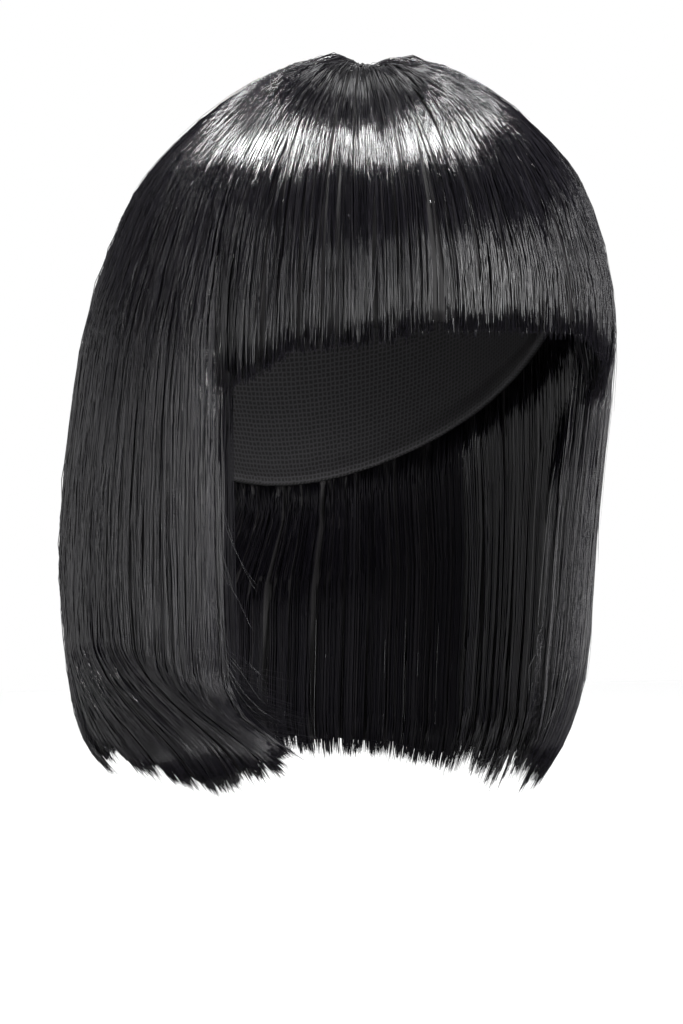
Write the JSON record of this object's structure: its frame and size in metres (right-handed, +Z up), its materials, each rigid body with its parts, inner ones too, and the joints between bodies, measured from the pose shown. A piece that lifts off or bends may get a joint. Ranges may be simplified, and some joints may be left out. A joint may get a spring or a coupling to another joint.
{
  "type": "short wig",
  "caption": "Short black bob wig with a full straight fringe, its hair hanging from a thin sewn cap that sits on the head and its tips turned under at the jaw.",
  "frame": {"origin": "the point inside the cap that rests on the top of the wearer's head", "axes": "+Z up, the face opening looks along -Y, +X towards the wearer's left"},
  "size_m": [0.2021, 0.2228, 0.272],
  "materials": {
    "hair_fibre": "glossy black synthetic fibre",
    "cap_net": "matt black stretch net"
  },
  "bodies": {
    "root": {"wig_cap": "cap_net", "fringe": "hair_fibre", "right_side_hair": "hair_fibre", "left_side_hair": "hair_fibre", "back_hair": "hair_fibre", "right_inner_lock": "hair_fibre", "left_inner_lock": "hair_fibre"}
  },
  "joints": []
}
